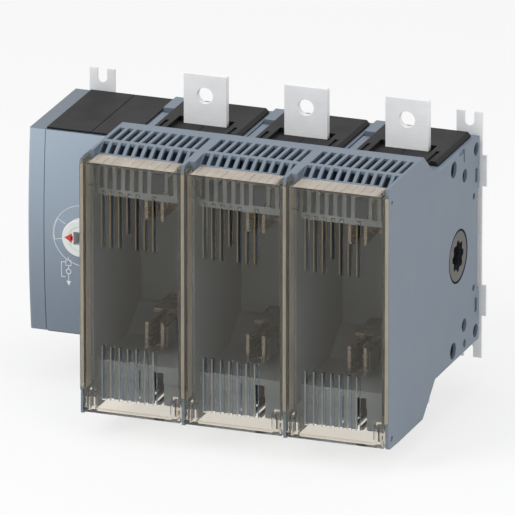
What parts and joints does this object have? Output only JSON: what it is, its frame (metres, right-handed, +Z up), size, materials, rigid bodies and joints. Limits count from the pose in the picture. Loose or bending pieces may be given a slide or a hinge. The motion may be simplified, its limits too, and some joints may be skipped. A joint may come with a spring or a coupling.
{
  "type": "fuse switch disconnector",
  "caption": "Multi-pole fuse switch disconnector: side drive module, louvred pole housings with clear hinged fuse covers, flat terminal blades and rear fixing brackets.",
  "frame": {"origin": "centre of the four fixing slots, on the wall", "axes": "+X right, +Y into the wall, +Z up; the front faces -Y"},
  "size_m": [0.384, 0.245, 0.2816],
  "materials": {
    "housing_grey": "fine moulded grain",
    "drive_face": "smooth satin",
    "black_plastic": "fine moulded grain",
    "tinned_copper": "satin tin plating, brushed",
    "silvered_copper": "silver plated",
    "steel": "zinc plated",
    "rotor_plastic": "moulded thermoset",
    "smoked_clear": "smoked clear polycarbonate",
    "galvanised_sheet": "galvanised",
    "white_plastic": "satin"
  },
  "bodies": {
    "root": {"bracket_left": "galvanised_sheet", "bracket_right": "galvanised_sheet", "bracket_screws": "steel", "drive_cover_left_bottom": "black_plastic", "drive_cover_left_top": "black_plastic", "drive_cover_right_bottom": "black_plastic", "drive_cover_right_top": "black_plastic", "drive_front_plate": "drive_face", "drive_housing": "housing_grey", "drive_side_chamber": "drive_face", "end_wall": "housing_grey", "fuse_jaw_bottom_1": "silvered_copper", "fuse_jaw_bottom_2": "silvered_copper", "fuse_jaw_bottom_3": "silvered_copper", "fuse_jaw_top_1": "silvered_copper", "fuse_jaw_top_2": "silvered_copper", "fuse_jaw_top_3": "silvered_copper", "jaw_clips_1": "steel", "jaw_clips_2": "steel", "jaw_clips_3": "steel", "mechanism_frame": "galvanised_sheet", "pole_housing_1": "housing_grey", "pole_housing_2": "housing_grey", "pole_housing_3": "housing_grey", "terminal_bottom_1": "tinned_copper", "terminal_bottom_2": "tinned_copper", "terminal_bottom_3": "tinned_copper", "terminal_cover_bottom_1": "black_plastic", "terminal_cover_bottom_2": "black_plastic", "terminal_cover_bottom_3": "black_plastic", "terminal_cover_top_1": "black_plastic", "terminal_cover_top_2": "black_plastic", "terminal_cover_top_3": "black_plastic", "terminal_top_1": "tinned_copper", "terminal_top_2": "tinned_copper", "terminal_top_3": "tinned_copper"},
    "hub": {"drive_hub": "white_plastic", "hub_gear": "steel"},
    "rotor": {"contact_rotor_1": "rotor_plastic", "contact_rotor_2": "rotor_plastic", "contact_rotor_3": "rotor_plastic", "coupling_socket": "rotor_plastic", "knives_1": "silvered_copper", "knives_2": "silvered_copper", "knives_3": "silvered_copper", "rotor_shaft": "steel", "shaft_gear": "steel"},
    "cover_1": {"fuse_cover_1": "smoked_clear"},
    "cover_2": {"fuse_cover_2": "smoked_clear"},
    "cover_3": {"fuse_cover_3": "smoked_clear"}
  },
  "joints": [
    {"name": "drive_turn", "type": "hinge", "parent": "root", "child": "hub", "pos_m": [-0.144, -0.1, 0], "axis": [0, 1, 0], "range_deg": [0, 90]},
    {"name": "rotor_turn", "type": "hinge", "parent": "root", "child": "rotor", "pos_m": [0, -0.0613, 0], "axis": [1, 0, 0], "range_deg": [0, 90]},
    {"name": "cover_1_hinge", "type": "hinge", "parent": "root", "child": "cover_1", "pos_m": [-0.052, -0.2325, -0.1114], "axis": [1, 0, 0], "range_deg": [0, 95]},
    {"name": "cover_2_hinge", "type": "hinge", "parent": "root", "child": "cover_2", "pos_m": [0.042, -0.2325, -0.1114], "axis": [1, 0, 0], "range_deg": [0, 95]},
    {"name": "cover_3_hinge", "type": "hinge", "parent": "root", "child": "cover_3", "pos_m": [0.136, -0.2325, -0.1114], "axis": [1, 0, 0], "range_deg": [0, 95]}
  ],
  "couplings": [
    {"joint": "drive_turn", "follows": "rotor_turn", "ratio": 1}
  ]
}
